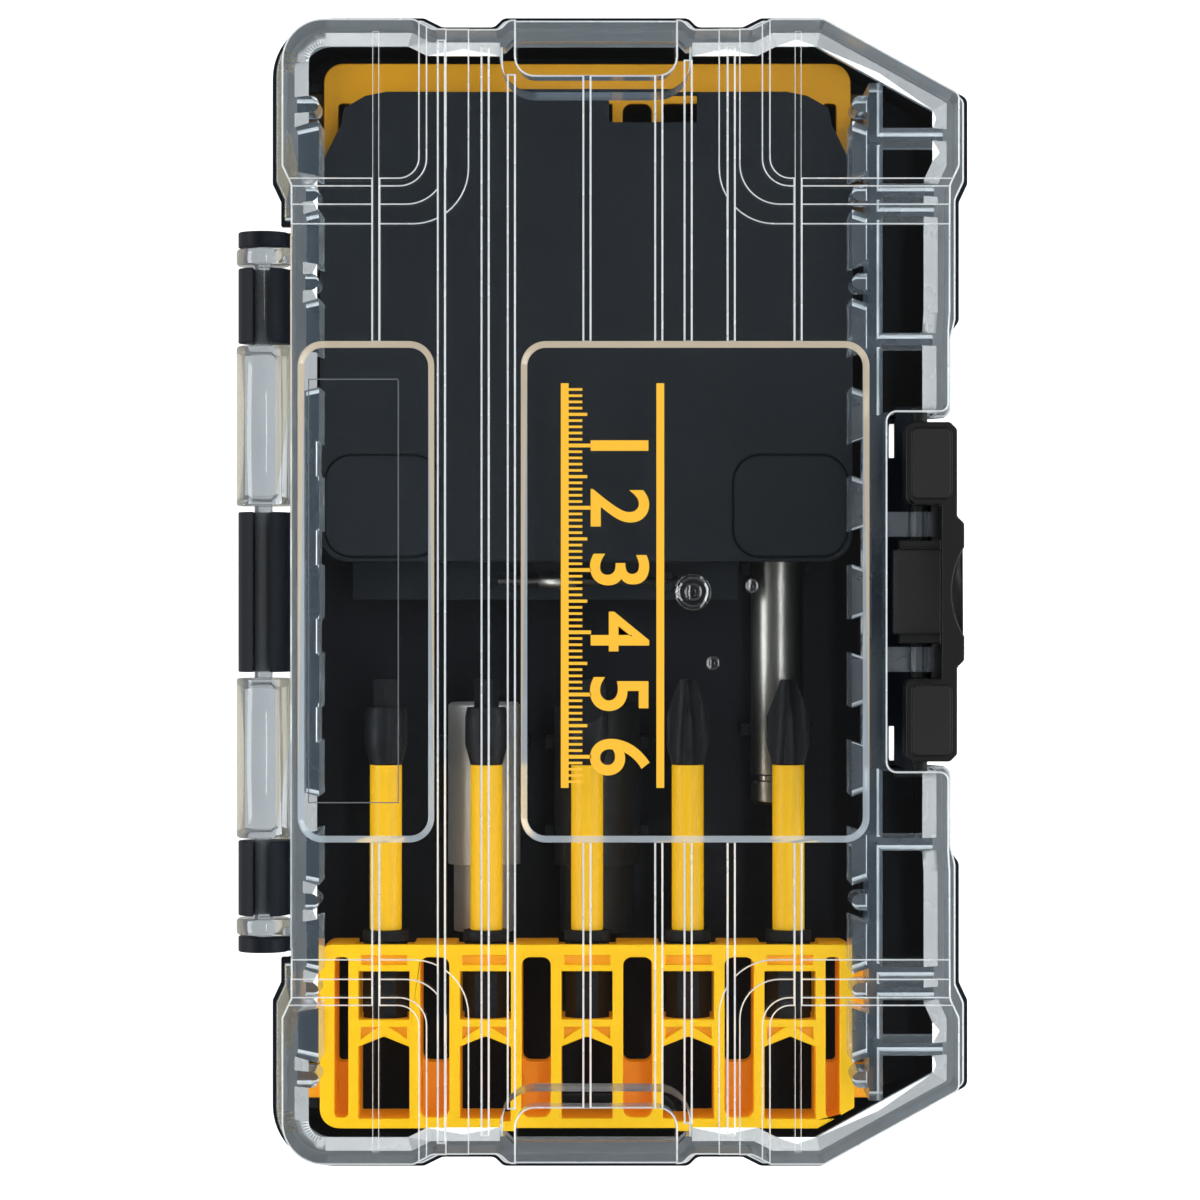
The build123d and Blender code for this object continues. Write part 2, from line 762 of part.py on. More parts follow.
def make_bit_bar(house_bottom, slot_bottom, floor_start):
    """Yellow bit bar with its face at Z 0 and its bit side at Y 0, open as far as the given rows."""
    outline = Pos(0, -bar_depth / 2) * Rectangle(bar_width, bar_depth)
    near_corners = outline.vertices().group_by(Axis.Y)[-1]
    outline = fillet(near_corners, bar_radius)
    far_corners = outline.vertices().group_by(Axis.Y)[0]
    outline = fillet(far_corners, bar_far_radius)
    bar = Part() + extrude(outline, -bar_thick)
    below = -bar_thick - past
    channels = [(index - (bit_count - 1) / 2) * bit_pitch for index in range(bit_count)]
    half = channel_width / 2
    for x in channels:
        bar -= span_box((x - half, x + half), (-window_bottom, -window_top), (below, past))
        house = [
            (x - half, -house_bottom),
            (x + half, -house_bottom),
            (x + half, -house_eave),
            (x, -house_apex),
            (x - half, -house_eave),
        ]
        bar -= prism(house, (below, past))
        pocket = half - pocket_inset
        bar -= span_box((x - pocket, x + pocket), (-pocket_bottom, -pocket_top), (-pocket_depth, past))
        top = -window_bottom - triangle_gap
        for side in (-1, 1):
            triangle = [
                (x + side * pocket, top),
                (x + side * triangle_inner, top),
                (x + side * pocket, top - triangle_height),
            ]
            bar -= prism(triangle, (-pocket_depth, past))
        bar -= rod_along_y(hex_radius + bit_fit, x, -bit_axis_drop, (-shank_bite - shank_end_gap, past))
        notch = half + notch_side
        notch_top = -bit_axis_drop + ring_radius + notch_rise
        bar -= span_box((x - notch, x + notch), (-side_notch, past), (below, notch_top))
    slot_rows = [(x + bit_pitch / 2, slot_width, slot_radius) for x in channels[:-1]]
    edge_x = bar_width / 2 - edge_slot_gap - edge_slot_width / 2
    slot_rows += [(side * edge_x, edge_slot_width, edge_slot_radius) for side in (-1, 1)]
    deep = floor_start - slot_top
    for x, width, radius in slot_rows:
        slot = raised(RectangleRounded(width, slot_bottom - slot_top, radius), (-slot_floor_depth, past))
        through = raised(RectangleRounded(width, deep, radius), (below, past))
        bar -= Pos(x, -(slot_top + slot_bottom) / 2, 0) * slot
        bar -= Pos(x, -slot_top - deep / 2, 0) * through
    for row, height in ear_rows:
        ear = span_box(
            (-bar_width / 2 - ear_reach, bar_width / 2 + ear_reach),
            (-row - height / 2, -row + height / 2),
            (-ear_drop - ear_thick, -ear_drop),
        )
        ear_root = bar_width / 2 - edge_slot_gap / 2
        bar += ear - span_box((-ear_root, ear_root), (-bar_depth, 0), (below, past))
    return bar


def cut_corner(bar):
    """The lower bar's own cut, where the case's corner is cut off."""
    corner = (bar_width / 2 + past, -bar_depth - past)
    points = [
        corner,
        (corner[0], -bar_depth + bar_cut[1]),
        (bar_width / 2, -bar_depth + bar_cut[1]),
        (bar_width / 2 - bar_cut[0], -bar_depth),
        (bar_width / 2 - bar_cut[0], corner[1]),
    ]
    return bar - prism(points, (-bar_thick - past, past))


def tip_profile(end_radius):
    """The turned outline of a bit in front of its shank, tip at Y 0."""
    rows = [
        (0, 0),
        (end_radius, 0),
        (head_radius, -head_start),
        (head_radius, -head_end),
        (sleeve_radius, -tip_length),
        (neck_radius, -tip_length),
        (neck_radius, shank_bite - bit_length),
        (0, shank_bite - bit_length),
    ]
    return revolve(make_face(Polyline(*rows, close=True)), Axis.Y)


def cross_flutes():
    """Four flutes that leave a cross-head tip with four wings."""
    flute = Rot(0, 0, flute_tilt) * Rot(90, 0, 0) * Cylinder(flute_radius, flute_length)
    flute = Pos(flute_out, -flute_back, 0) * flute
    return [Rot(0, 45 + 90 * k, 0) * flute for k in range(4)]


def blade_cuts():
    """The room on both sides of a flat blade, sloping out to the full head."""
    points = [
        (blade_half, past),
        (blade_half, -blade_length),
        (head_radius + past, -blade_shoulder),
        (head_radius + past, past),
    ]
    outline = make_face(Polyline(*[(0, y, z) for z, y in points], close=True))
    room = extrude(outline, head_radius + past, dir=(1, 0, 0), both=True)
    return [room, Rot(0, 180, 0) * room]


def drive_room(sides, flats):
    """The room round a straight square or six-sided drive end."""
    keep = extrude(RegularPolygon(flats / 2, sides, major_radius=False), drive_length)
    room = extrude(Circle(head_radius + past), drive_length) - keep
    return [Rot(90, 0, 0) * room]


def make_bit(kind):
    """One bit: steel shank and tip, with its tip at Y 0."""
    end_radius, cuts = {
        "cross": (tip_radius, cross_flutes()),
        "blade": (blade_end_radius, blade_cuts()),
        "square": (drive_end_radius, drive_room(4, square_drive)),
        "hexagon": (drive_end_radius, drive_room(6, hex_drive)),
    }[kind]
    bit = tip_profile(end_radius)
    for cut in cuts:
        bit -= cut
    return bit + hex_along_y(hex_flats, 0, 0, (-bit_length, shank_bite - bit_length))


def tube_along_y(outer, inner, y):
    """A round tube along Y at X 0, Z 0."""
    return rod_along_y(outer, 0, 0, y) - rod_along_y(inner, 0, 0, (y[0] - past, y[1] + past))


def make_cover_panel():
    """Grey panel over the upper bar, with skirts and a pin ledge."""
    left = bar_left - panel_side_gap
    right = bar_right - panel_side_gap
    corner = [(left + across, panel_top_y - down) for across, down in panel_corner]
    mirrored = [(left + right - x, y) for x, y in reversed(corner)]
    outline = [(left, panel_low_y), *corner, *mirrored, (right, panel_low_y)]
    plate = prism(outline, (panel_top_z - panel_thick, panel_top_z))
    lower_edges = plate.edges().filter_by(Axis.Z).group_by(Axis.Y)[0]
    plate = fillet(lower_edges, panel_radius)
    top = panel_top_y - window_box_rows[0]
    plate -= span_box(window_box, (panel_top_y - window_box_rows[1], top), (0, lid_top))

    under = panel_top_z - panel_thick
    skirt_y = (panel_low_y + panel_radius, bar_near - panel_skirt_gap)
    for x in ((left, left + panel_skirt), (right - panel_skirt, right)):
        plate += span_box(x, skirt_y, (floor_thick, under))
        plate += span_box(x, (skirt_y[1], panel_top_y - panel_skirt_stop), (upper_face, under))
    ledge_x = (left + panel_radius, ledge_right)
    ledge_back = panel_low_y + panel_skirt
    ledge_low = ledge_top - ledge_thick
    plate += span_box(ledge_x, (panel_low_y, ledge_back), (ledge_top, under))
    plate += span_box(ledge_x, (panel_low_y - ledge_depth, ledge_back), (ledge_low, ledge_top))
    pin_y = panel_low_y - ledge_depth / 2
    pin_z = ledge_top + pin_above_ledge
    lug_y = (pin_y - pin_lug, pin_y + pin_lug)
    for x in (pin_left + pin_lug, pin_right - pin_lug):
        plate += span_box((x - pin_lug / 2, x + pin_lug / 2), lug_y, (ledge_top, pin_z + pin_radius))
    bore = Pos(0, pin_y, pin_z) * Rot(0, 90, 0) * Cylinder(pin_radius + piece_gap, case_width)
    plate -= bore

    groove_z = (panel_top_z - groove_depth, panel_top_z + past)
    across, along = groove_size
    outer = RectangleRounded(across, along, panel_radius)
    inner_radius = panel_radius - groove_width
    inner = RectangleRounded(across - 2 * groove_width, along - 2 * groove_width, inner_radius)
    ring = raised(outer, groove_z) - raised(inner, groove_z)
    ring_y = panel_low_y + groove_edge + along / 2
    plate -= Pos(right - groove_edge - across / 2, ring_y, 0) * ring
    plate -= Pos(left + groove_edge + across / 2, ring_y, 0) * ring
    return plate


def make_panel_pin():
    """Slim steel pin with a thicker sleeve part on the panel's ledge."""
    pin_y = panel_low_y - ledge_depth / 2
    pin_z = ledge_top + pin_above_ledge
    middle = (pin_left + pin_right) / 2
    pin = Rot(0, 90, 0) * Cylinder(pin_radius, pin_right - pin_left)
    centre = (pin_sleeve[0] + pin_sleeve[1]) / 2
    thick = Rot(0, 90, 0) * Cylinder(pin_sleeve_radius, pin_sleeve[1] - pin_sleeve[0])
    return Pos(middle, pin_y, pin_z) * pin + Pos(centre, pin_y, pin_z) * thick


def make_driver(radius, hex_size):
    """A nut driver's barrel, shank and magnet, socket mouth at Y 0."""
    barrel = rod_along_y(radius, 0, 0, (-driver_barrel, 0))
    barrel = chamfer(barrel.edges().group_by(Axis.Y)[-1], tool_chamfer)
    end = -driver_barrel - driver_neck
    stem_y = end + driver_stem
    magnet_y = -socket_depth - magnet_length
    barrel += rod_along_y(radius - neck_step, 0, 0, (end, -driver_barrel))
    barrel -= hex_along_y(hex_size, 0, 0, (-socket_depth, past))
    barrel -= rod_along_y(magnet_radius + piece_gap, 0, 0, (magnet_y, past - socket_depth))
    barrel -= rod_along_y(stem_radius + piece_gap, 0, 0, (end - past, stem_y))
    shank = hex_along_y(hex_flats, 0, 0, (end - driver_shank, end - piece_gap))
    shank += rod_along_y(stem_radius, 0, 0, (end - past, stem_y - piece_gap))
    magnet = rod_along_y(magnet_radius, 0, 0, (magnet_y + piece_gap, -socket_depth))
    return barrel, shank, magnet


def make_holder():
    """The magnetic bit holder: sleeve, shank, magnet and spring ring."""
    top = holder_sleeve_length
    sleeve = rod_along_y(holder_radius, 0, 0, (0, top))
    rims = sleeve.edges().group_by(Axis.Y)
    sleeve = chamfer(rims[0] + rims[-1], tool_chamfer)
    sleeve -= hex_along_y(small_hex, 0, 0, (-past, socket_depth))
    magnet_end = socket_depth + magnet_length
    sleeve -= rod_along_y(magnet_radius + piece_gap, 0, 0, (socket_depth - past, magnet_end))
    ring_y = (socket_depth / 2, socket_depth / 2 + holder_ring_width)
    groove_radius = holder_radius - holder_ring_step
    sleeve -= tube_along_y(holder_radius + past, groove_radius, ring_y)
    seat = top - holder_stem
    sleeve -= rod_along_y(stem_radius + piece_gap, 0, 0, (seat, top + past))
    shank = hex_along_y(hex_flats, 0, 0, (top + piece_gap, top + holder_shank))
    shank += rod_along_y(stem_radius, 0, 0, (seat + piece_gap, top + past))
    magnet = rod_along_y(magnet_radius, 0, 0, (socket_depth, magnet_end - piece_gap))
    ring_span_y = (ring_y[0] + piece_gap, ring_y[1] - piece_gap)
    ring = tube_along_y(holder_radius, groove_radius + piece_gap, ring_span_y)
    half_gap = holder_ring_gap / 2
    gap = span_box((-half_gap, half_gap), (ring_y[0] - past, ring_y[1] + past), (-holder_radius - past, 0))
    return sleeve, shank, magnet, ring - gap


lower_bar = make_bit_bar(bar_depth - house_end_margin, bar_depth - slot_end_margin, slot_floor_start)
upper_bar = make_bit_bar(upper_bar_row, upper_bar_row, upper_bar_row)
nodes = {
    "base_shell": make_base_shell(),
    "lid_shell": make_lid_shell(),
    "latch_lever": make_latch_lever(),
    "lower_bit_bar": Pos(bar_x, -bar_near, bar_face) * cut_corner(lower_bar),
    "upper_bit_bar": Pos(bar_x, bar_near, upper_face) * Rot(0, 0, 180) * upper_bar,
    "cover_panel": make_cover_panel(),
    "panel_pin": make_panel_pin(),
}

bit_kinds = ("square", "hexagon", "blade", "cross", "cross")
for index, kind in enumerate(bit_kinds):
    place = Pos(bar_x + (index - (bit_count - 1) / 2) * bit_pitch, bit_tip_y, bit_z)
    ring_end = shank_bite + ring_seat_gap - bit_length
    sleeve_end = ring_end + ring_thick
    nodes[f"bit_{index + 1}_shank"] = place * make_bit(kind)
    nodes[f"bit_{index + 1}_sleeve"] = place * tube_along_y(
        sleeve_radius, neck_radius + piece_gap, (sleeve_end + piece_gap, -tip_length - piece_gap)
    )
    nodes[f"bit_{index + 1}_ring"] = place * tube_along_y(
        ring_radius, neck_radius + piece_gap, (ring_end, sleeve_end)
    )

for name, x, radius, hex_size in (
    ("small_driver", small_driver_x, small_driver_radius, small_hex),
    ("large_driver", large_driver_x, large_driver_radius, large_hex),
):
    place = Pos(x, driver_top, tool_floor + radius)
    barrel, shank, magnet = make_driver(radius, hex_size)
    nodes[f"{name}_socket"] = place * barrel
    nodes[f"{name}_shank"] = place * shank
    nodes[f"{name}_magnet"] = place * magnet

place = Pos(holder_x, holder_low, tool_floor + holder_radius)
sleeve, shank, magnet, ring = make_holder()
nodes["holder_sleeve"] = place * sleeve
nodes["holder_shank"] = place * shank
nodes["holder_magnet"] = place * magnet
nodes["holder_ring"] = place * ring

os.makedirs("parts", exist_ok=True)
for name, shape in nodes.items():
    export_step(shape, f"parts/{name}.step")
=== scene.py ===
import json
import math

import bmesh
import bpy
import numpy as np
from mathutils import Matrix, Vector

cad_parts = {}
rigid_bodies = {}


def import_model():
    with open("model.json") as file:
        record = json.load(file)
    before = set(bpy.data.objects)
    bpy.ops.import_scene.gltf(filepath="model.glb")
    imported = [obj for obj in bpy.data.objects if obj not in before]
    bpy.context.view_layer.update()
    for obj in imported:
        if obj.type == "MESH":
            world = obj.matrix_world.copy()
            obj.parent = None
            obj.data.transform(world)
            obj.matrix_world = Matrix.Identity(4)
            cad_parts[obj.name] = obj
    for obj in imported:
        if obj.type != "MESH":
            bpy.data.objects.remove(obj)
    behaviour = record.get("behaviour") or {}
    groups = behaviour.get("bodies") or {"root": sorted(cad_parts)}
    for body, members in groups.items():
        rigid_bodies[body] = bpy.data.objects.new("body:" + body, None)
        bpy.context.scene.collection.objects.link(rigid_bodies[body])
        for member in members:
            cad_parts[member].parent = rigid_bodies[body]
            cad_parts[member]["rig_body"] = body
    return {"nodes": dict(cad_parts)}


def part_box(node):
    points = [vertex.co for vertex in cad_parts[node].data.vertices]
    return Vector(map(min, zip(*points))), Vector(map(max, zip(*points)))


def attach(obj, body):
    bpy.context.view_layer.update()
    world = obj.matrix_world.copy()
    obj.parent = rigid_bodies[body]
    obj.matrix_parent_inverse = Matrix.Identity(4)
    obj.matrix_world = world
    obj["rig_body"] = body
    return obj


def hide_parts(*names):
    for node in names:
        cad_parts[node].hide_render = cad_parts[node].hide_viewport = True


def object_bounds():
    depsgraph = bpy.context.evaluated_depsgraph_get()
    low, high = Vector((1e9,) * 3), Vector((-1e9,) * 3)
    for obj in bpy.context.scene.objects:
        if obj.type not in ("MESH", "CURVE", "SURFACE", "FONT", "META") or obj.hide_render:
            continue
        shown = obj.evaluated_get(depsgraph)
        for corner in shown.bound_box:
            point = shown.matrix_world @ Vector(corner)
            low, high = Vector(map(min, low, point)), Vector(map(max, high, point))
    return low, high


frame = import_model()
cad_low, cad_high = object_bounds()
MM = 0.001

# Base shell: the lower half of the case, injection moulded in black
# polypropylene with a fine spark texture. It carries the hinge knuckles, the
# latch shelf and the seats of everything inside.

BASE_BEVEL = 0.15 * MM
BEVEL_SEGMENTS = 2
SMOOTH_ANGLE = math.radians(32)
FLAT_ANGLE = math.radians(0.3)
WELD_GAP = 0.002 * MM
BASE_BLACK = ((0.0025, 0.0036, 0.0062), (0.0065, 0.009, 0.014))
DULL = 0.12
GRAIN_DETAIL = 2.0
SPARK_SCALE = 4000.0
SPARK_DEPTH = 0.05 * MM
UNSTRETCHED = (1, 1, 1)
FLOW_SCALE = 55.0
FLOW_DETAIL = 4.0


def linked(name, data):
    """A new object at the scene's origin that holds the data."""
    thing = bpy.data.objects.new(name, data)
    bpy.context.scene.collection.objects.link(thing)
    return thing


def weld(mesh, join_flat=False):
    """Joins doubled points, and flat faces where asked, and shades the mesh smooth up to an angle."""
    shape = bmesh.new()
    shape.from_mesh(mesh)
    bmesh.ops.remove_doubles(shape, verts=shape.verts, dist=WELD_GAP)
    if join_flat:
        bmesh.ops.dissolve_limit(shape, angle_limit=FLAT_ANGLE, verts=shape.verts, edges=shape.edges)
    shape.to_mesh(mesh)
    shape.free()
    mesh.shade_smooth()
    mesh.set_sharp_from_angle(angle=SMOOTH_ANGLE)


def dressed(node, name, bevel=0.0):
    """A copy of a CAD node, shaded smooth up to an angle. With a bevel its edges are rounded too."""
    mesh = frame["nodes"][node].data.copy()
    mesh.name = name
    weld(mesh, join_flat=bevel > 0)
    piece = linked(name, mesh)
    if bevel:
        rounding = piece.modifiers.new("edge_round", "BEVEL")
        rounding.width = bevel
        rounding.segments = BEVEL_SEGMENTS
        rounding.limit_method = "ANGLE"
        rounding.angle_limit = SMOOTH_ANGLE
        rounding.use_clamp_overlap = False
        rounding.harden_normals = True
    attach(piece, frame["nodes"][node]["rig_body"])
    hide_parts(node)
    return piece


def finish_with(piece, material):
    """Gives a piece its material."""
    piece.data.materials.clear()
    piece.data.materials.append(material)


def shader_of(name):
    """A new material: returns it, its node tree and its Principled shader."""
    material = bpy.data.materials.new(name)
    material.use_nodes = True
    tree = material.node_tree
    return material, tree, tree.nodes["Principled BSDF"]


def add_node(tree, kind, inputs=(), **properties):
    """A node with its properties and then its inputs set: inputs are (socket, value)."""
    node = tree.nodes.new(kind)
    for key, value in properties.items():
        setattr(node, key, value)
    for socket, value in inputs:
        node.inputs[socket].default_value = value
    return node


def surface_effect(name, stretch, cloud_scale, cloud_detail, handled):
    """A node group for a surface: fine grain as height, and a soft cloud that mixes two colours.

    The grain is noise at the grain scale, times the stretch along each axis. The roughness goes from low
    to high with the cloud on a handled surface, and with the grain on any other.
    """
    tree = bpy.data.node_groups.new(name, "ShaderNodeTree")
    for label, way, kind in (
        ("Dark", "INPUT", "NodeSocketColor"),
        ("Light", "INPUT", "NodeSocketColor"),
        ("Grain Scale", "INPUT", "NodeSocketFloat"),
        ("Rough Low", "INPUT", "NodeSocketFloat"),
        ("Rough High", "INPUT", "NodeSocketFloat"),
        ("Color", "OUTPUT", "NodeSocketColor"),
        ("Roughness", "OUTPUT", "NodeSocketFloat"),
        ("Height", "OUTPUT", "NodeSocketFloat"),
    ):
        tree.interface.new_socket(label, in_out=way, socket_type=kind)
    ins, outs = tree.nodes.new("NodeGroupInput"), tree.nodes.new("NodeGroupOutput")
    place = add_node(tree, "ShaderNodeTexCoord")
    squash = add_node(tree, "ShaderNodeMapping", [("Scale", stretch)])
    grain = add_node(tree, "ShaderNodeTexNoise", [("Detail", GRAIN_DETAIL)])
    cloud = add_node(tree, "ShaderNodeTexNoise", [("Scale", cloud_scale), ("Detail", cloud_detail)])
    blend = add_node(tree, "ShaderNodeMix", data_type="RGBA")
    rough = add_node(tree, "ShaderNodeMapRange")
    wear = cloud if handled else grain
    tree.links.new(place.outputs["Object"], squash.inputs["Vector"])
    tree.links.new(place.outputs["Object"], cloud.inputs["Vector"])
    tree.links.new(squash.outputs["Vector"], grain.inputs["Vector"])
    tree.links.new(ins.outputs["Grain Scale"], grain.inputs["Scale"])
    tree.links.new(cloud.outputs["Fac"], blend.inputs["Factor"])
    tree.links.new(ins.outputs["Dark"], blend.inputs["A"])
    tree.links.new(ins.outputs["Light"], blend.inputs["B"])
    tree.links.new(wear.outputs["Fac"], rough.inputs["Value"])
    tree.links.new(ins.outputs["Rough Low"], rough.inputs["To Min"])
    tree.links.new(ins.outputs["Rough High"], rough.inputs["To Max"])
    tree.links.new(blend.outputs["Result"], outs.inputs["Color"])
    tree.links.new(rough.outputs["Result"], outs.inputs["Roughness"])
    tree.links.new(grain.outputs["Fac"], outs.inputs["Height"])
    return tree


def textured(name, effect, grain, relief_depth, tones, rough, bump, shine):
    """An opaque material built on a surface effect; tones and rough each give both ends of a range."""
    material, tree, shader = shader_of(name)
    colours = [("Dark", (*tones[0], 1)), ("Light", (*tones[1], 1))]
    values = [("Grain Scale", grain), ("Rough Low", rough[0]), ("Rough High", rough[1])]
    texture = add_node(tree, "ShaderNodeGroup", colours + values, node_tree=effect)
    relief = add_node(tree, "ShaderNodeBump", [("Strength", bump), ("Distance", relief_depth)])
    shader.inputs["Specular IOR Level"].default_value = shine
    tree.links.new(texture.outputs["Color"], shader.inputs["Base Color"])
    tree.links.new(texture.outputs["Roughness"], shader.inputs["Roughness"])
    tree.links.new(texture.outputs["Height"], relief.inputs["Height"])
    tree.links.new(relief.outputs["Normal"], shader.inputs["Normal"])
    return material


mould_texture = surface_effect("mould_texture", UNSTRETCHED, FLOW_SCALE, FLOW_DETAIL, handled=False)


def moulded(name, tones, rough, bump, shine, grain=SPARK_SCALE):
    """A moulded plastic: spark grain and soft flow marks."""
    return textured(name, mould_texture, grain, SPARK_DEPTH, tones, rough, bump, shine)


black_plastic = moulded("black_plastic", BASE_BLACK, rough=(0.38, 0.55), bump=0.12, shine=DULL)
base = dressed("base_shell", "base", BASE_BEVEL)
finish_with(base, black_plastic)

# Bit bars: two bars moulded in yellow polypropylene. Their ears lie in
# notches of the base, the upper one lower down, under the panel.

BAR_BEVEL = 0.2 * MM
BAR_YELLOW = ((0.93, 0.5, 0.002), (0.96, 0.54, 0.003))
# The upper bar is the same yellow plastic: its deeper amber is painted shade, as it lies under the panel.
UPPER_BAR_PAINTED_SHADE = ((0.84, 0.36, 0.006), (0.88, 0.4, 0.008))
YELLOW_SHINE = 0.25
# Painted shade down in the bars' pockets, from just below the top face to deeper down: orange in the lower
# bar, where it also stands in for light bounced between yellow walls, and dark brown in the upper one.
POCKET_PAINTED_SHADE_ORANGE = (0.8, 0.32, 0.004, 1)
POCKET_PAINTED_SHADE_BROWN = (0.1, 0.045, 0.006, 1)
BLACK = (0, 0, 0, 1)
POCKET_SHADE_FROM = 0.3 * MM
POCKET_SHADE_TO = 1.2 * MM


def yellow_bar(name, tones, top, pocket_shade, glow):
    """Yellow plastic with painted shade down in its pockets, going to the shade's tone with depth, and a
    painted glow there that stands in for light coming out through it.
    """
    material = moulded(name, tones, rough=(0.32, 0.45), bump=0.06, shine=YELLOW_SHINE)
    tree = material.node_tree
    shader = tree.nodes["Principled BSDF"]
    surface = shader.inputs["Base Color"].links[0].from_socket
    place = add_node(tree, "ShaderNodeTexCoord")
    split = add_node(tree, "ShaderNodeSeparateXYZ")
    depth = add_node(tree, "ShaderNodeMapRange", [("From Min", top - POCKET_SHADE_FROM), ("From Max", top - POCKET_SHADE_TO)])
    shade = add_node(tree, "ShaderNodeMix", [("B", pocket_shade)], data_type="RGBA")
    # Painted glow: the pockets give off light in their shade's colour, standing in for light that comes
    # through the plastic.
    painted_glow_colour = add_node(tree, "ShaderNodeMix", [("A", BLACK), ("B", pocket_shade)], data_type="RGBA")
    tree.links.new(place.outputs["Object"], split.inputs["Vector"])
    tree.links.new(split.outputs["Z"], depth.inputs["Value"])
    tree.links.new(surface, shade.inputs["A"])
    tree.links.new(depth.outputs["Result"], shade.inputs["Factor"])
    tree.links.new(depth.outputs["Result"], painted_glow_colour.inputs["Factor"])
    tree.links.new(shade.outputs["Result"], shader.inputs["Base Color"])
    tree.links.new(painted_glow_colour.outputs["Result"], shader.inputs["Emission Color"])
    shader.inputs["Emission Strength"].default_value = glow
    return material


# Each bar: its CAD node, name, tones, painted pocket shade and the strength of its painted glow.
for bar_node, bar_name, tones, pocket_shade, glow in (
    ("lower_bit_bar", "lower_bar", BAR_YELLOW, POCKET_PAINTED_SHADE_ORANGE, 0.2),
    ("upper_bit_bar", "upper_bar", UPPER_BAR_PAINTED_SHADE, POCKET_PAINTED_SHADE_BROWN, 0.0),
):
    bar = dressed(bar_node, bar_name, BAR_BEVEL)
    bar_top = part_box(bar_node)[1].z
    finish_with(bar, yellow_bar(f"{bar_name}_yellow", tones, bar_top, pocket_shade, glow))

# Bits: five long bits of black-oxide steel. A yellow plastic sleeve turns on
# each bit's neck, and a black ring holds it in place against the bar.

BIT_COUNT = 5
BIT_BEVEL = 0.08 * MM
SLEEVE_YELLOW = ((0.86, 0.45, 0.004), (0.89, 0.48, 0.006))
OXIDE_BLACK = ((0.0035, 0.004, 0.005), (0.008, 0.009, 0.011))
RING_BLACK = ((0.006, 0.006, 0.006), (0.012, 0.012, 0.012))
TURNING_STRETCH = (60, 6000, 60)
TURNING_SCALE = 1.0
TURNING_DEPTH = 0.02 * MM
TONE_SCALE = 70.0
TONE_DETAIL = 2.0

tool_steel = surface_effect("tool_steel", TURNING_STRETCH, TONE_SCALE, TONE_DETAIL, handled=True)


def steel(name, tones, rough, metallic=1.0, bump=0.03, shine=0.5):
    """A turned steel: fine rings round Y, and a cloudy change of tone from handling."""
    material = textured(name, tool_steel, TURNING_SCALE, TURNING_DEPTH, tones, rough, bump, shine)
    material.node_tree.nodes["Principled BSDF"].inputs["Metallic"].default_value = metallic
    return material


black_steel = steel("black_oxide", OXIDE_BLACK, rough=(0.35, 0.5), metallic=0.0, shine=0.2)
sleeve_plastic = moulded("yellow_sleeve", SLEEVE_YELLOW, rough=(0.38, 0.42), bump=0.015, shine=YELLOW_SHINE)
ring_rubber = moulded("black_ring", RING_BLACK, rough=(0.5, 0.62), bump=0.1, shine=DULL)
for number in range(1, BIT_COUNT + 1):
    for part, part_name, material, slot in (
        ("shank", "steel", black_steel, "black_steel"),
        ("sleeve", "tube", sleeve_plastic, "yellow_sleeve"),
        ("ring", "collar", ring_rubber, "black_rubber"),
    ):
        finish_with(dressed(f"bit_{number}_{part}", f"bit_{number}_{part_name}", BIT_BEVEL), material)

# Tools under the bits: a plated and a black nut driver and a magnetic bit
# holder, turned from steel bar, lying in saddles on the base's floor.

TOOL_BEVEL = 0.15 * MM
PLATED_GREY = ((0.34, 0.325, 0.29), (0.43, 0.41, 0.37))
SATIN_GREY = ((0.62, 0.6, 0.56), (0.74, 0.72, 0.68))
DRIVER_BLACK = ((0.006, 0.0065, 0.007), (0.014, 0.015, 0.016))
MAGNET_GREY = ((0.3, 0.3, 0.3), (0.5, 0.5, 0.5))
FINE_TURNING = 0.008

plated_steel = steel("plated_steel", PLATED_GREY, rough=(0.26, 0.3), bump=FINE_TURNING)
satin_steel = steel("satin_steel", SATIN_GREY, rough=(0.4, 0.46), metallic=0.7, bump=FINE_TURNING)
driver_black = steel("driver_black", DRIVER_BLACK, rough=(0.35, 0.5), metallic=0.0, shine=0.3)
magnet_plate = steel("magnet_plate", MAGNET_GREY, rough=(0.15, 0.25))
for node, finish_and_painted_light, slot in (
    ("small_driver_socket", satin_steel, "bright_steel"),
    ("small_driver_shank", plated_steel, "bright_steel"),
    ("small_driver_magnet", magnet_plate, "magnet"),
    ("large_driver_socket", driver_black, "black_steel"),
    ("large_driver_shank", driver_black, "black_steel"),
    ("large_driver_magnet", magnet_plate, "magnet"),
    ("holder_sleeve", plated_steel, "bright_steel"),
    ("holder_shank", plated_steel, "bright_steel"),
    ("holder_magnet", magnet_plate, "magnet"),
    ("holder_ring", magnet_plate, "spring_ring"),
):
    finish_with(dressed(node, f"{node}_turned", TOOL_BEVEL), finish_and_painted_light)

# Cover panel: a grey polypropylene panel over the upper bar, with a slim
# plated pin across the ledge on its lower edge.

PANEL_BEVEL = 0.2 * MM
PANEL_GREY = ((0.0085, 0.011, 0.014), (0.0125, 0.0155, 0.0185))

grey_plastic = moulded("grey_plastic", PANEL_GREY, rough=(0.45, 0.6), bump=0.1, shine=DULL)
finish_with(dressed("cover_panel", "grey_panel", PANEL_BEVEL), grey_plastic)
finish_with(dressed("panel_pin", "slim_pin"), plated_steel)

# Lid: the upper half of the case, moulded in clear polycarbonate with ribs,
# coves and thick walls that catch the light. Its hinge pin is part of it.

LID_INDEX = 1.5
LID_SHADOW = (0.9, 0.92, 0.93, 1)
HAZE_SCALE = 90.0
HAZE_DETAIL = 3.0
POLISHED = ((0.93, 0.955, 0.97), (0.9, 0.935, 0.955))
